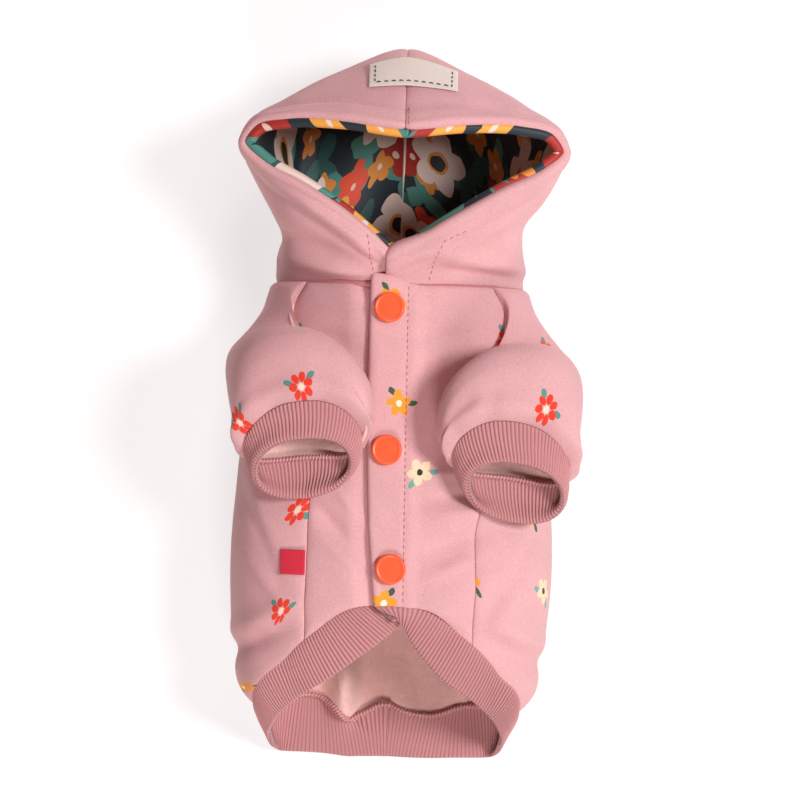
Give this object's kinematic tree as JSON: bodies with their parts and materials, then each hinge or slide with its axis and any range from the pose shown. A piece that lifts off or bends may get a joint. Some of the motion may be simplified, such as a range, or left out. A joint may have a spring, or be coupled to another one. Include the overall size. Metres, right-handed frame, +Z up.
{
  "type": "dog hoodie",
  "caption": "Small dog's pink knit hoodie lying on its back, with short ribbed sleeves, a lined hood, snaps down the belly and a sloping ribbed hem.",
  "frame": {"origin": "on the floor under the middle of the garment, which lies on its back", "axes": "+Z up out of the belly, +Y from the hem towards the hood, +X towards the picture's right"},
  "size_m": [0.1582, 0.3242, 0.0971],
  "materials": {
    "dusty_pink_double_knit": "brushed double knit with a small flower print",
    "dusty_pink_rib_knit": "rib knit",
    "printed_lining": "smooth woven lining with a large floral print",
    "orange_snap_plastic": "satin",
    "cream_label_weave": "woven label",
    "red_tab_weave": "woven tape"
  },
  "bodies": {
    "root": {"back_panel": "dusty_pink_double_knit", "belly_panel_left": "dusty_pink_double_knit", "belly_panel_right": "dusty_pink_double_knit", "cuff_left": "dusty_pink_rib_knit", "cuff_right": "dusty_pink_rib_knit", "hem_band": "dusty_pink_rib_knit", "hood_label": "cream_label_weave", "hood_left": "dusty_pink_double_knit", "hood_lining_left": "printed_lining", "hood_lining_right": "printed_lining", "hood_right": "dusty_pink_double_knit", "side_tag": "red_tab_weave", "sleeve_left": "dusty_pink_double_knit", "sleeve_right": "dusty_pink_double_knit", "snap_bottom": "orange_snap_plastic", "snap_middle": "orange_snap_plastic", "snap_top": "orange_snap_plastic"}
  },
  "joints": []
}
